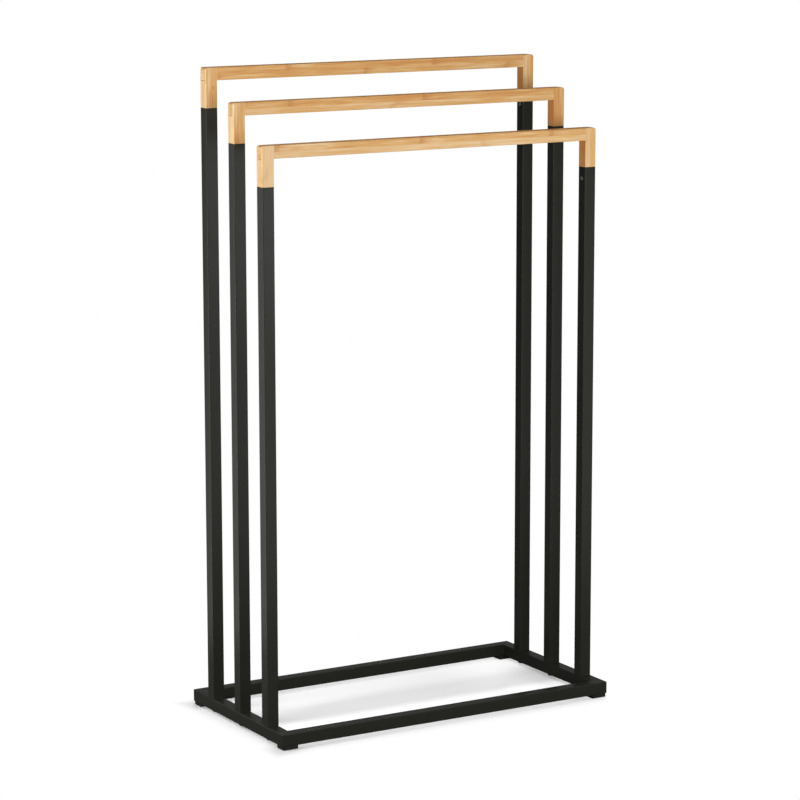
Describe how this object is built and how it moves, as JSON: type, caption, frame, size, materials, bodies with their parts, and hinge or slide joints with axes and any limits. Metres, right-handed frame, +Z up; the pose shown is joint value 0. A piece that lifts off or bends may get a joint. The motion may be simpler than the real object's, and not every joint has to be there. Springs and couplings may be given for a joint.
{
  "type": "towel rack",
  "caption": "Free-standing towel rack with stepped steel-tube frames, bamboo hanging rails and a rectangular base on low feet.",
  "frame": {"origin": "on the floor under the centre of the base frame", "axes": "+X along the hanging rails, +Y from the lowest frame in front to the tallest at the back, +Z up"},
  "size_m": [0.46, 0.233, 0.79],
  "materials": {
    "black_steel": "fine-textured black powder coat",
    "bamboo": "sanded laminated bamboo with a thin clear oil",
    "foot_rubber": "moulded matt black rubber",
    "zinc_steel": "bright zinc-plated foot screws and inserts",
    "black_zinc": "black zinc-plated bolts, washers and spigot screws"
  },
  "bodies": {
    "root": {"base_side_rail_left": "black_steel", "base_side_rail_right": "black_steel", "base_front_rail": "black_steel", "foot_front_left": "foot_rubber", "foot_screw_front_left": "zinc_steel", "foot_front_right": "foot_rubber", "foot_screw_front_right": "zinc_steel", "base_back_rail": "black_steel", "foot_back_left": "foot_rubber", "foot_screw_back_left": "zinc_steel", "foot_back_right": "foot_rubber", "foot_screw_back_right": "zinc_steel", "bamboo_rail_front": "bamboo", "post_front_left": "black_steel", "post_insert_front_left": "zinc_steel", "base_bolt_front_left": "black_zinc", "base_washer_front_left": "black_zinc", "bamboo_upright_front_left": "bamboo", "spigot_screw_front_left": "black_zinc", "post_front_right": "black_steel", "post_insert_front_right": "zinc_steel", "base_bolt_front_right": "black_zinc", "base_washer_front_right": "black_zinc", "bamboo_upright_front_right": "bamboo", "spigot_screw_front_right": "black_zinc", "bamboo_rail_middle": "bamboo", "post_middle_left": "black_steel", "post_insert_middle_left": "zinc_steel", "base_bolt_middle_left": "black_zinc", "base_washer_middle_left": "black_zinc", "bamboo_upright_middle_left": "bamboo", "spigot_screw_middle_left": "black_zinc", "post_middle_right": "black_steel", "post_insert_middle_right": "zinc_steel", "base_bolt_middle_right": "black_zinc", "base_washer_middle_right": "black_zinc", "bamboo_upright_middle_right": "bamboo", "spigot_screw_middle_right": "black_zinc", "bamboo_rail_back": "bamboo", "post_back_left": "black_steel", "post_insert_back_left": "zinc_steel", "base_bolt_back_left": "black_zinc", "base_washer_back_left": "black_zinc", "bamboo_upright_back_left": "bamboo", "spigot_screw_back_left": "black_zinc", "post_back_right": "black_steel", "post_insert_back_right": "zinc_steel", "base_bolt_back_right": "black_zinc", "base_washer_back_right": "black_zinc", "bamboo_upright_back_right": "bamboo", "spigot_screw_back_right": "black_zinc"}
  },
  "joints": []
}
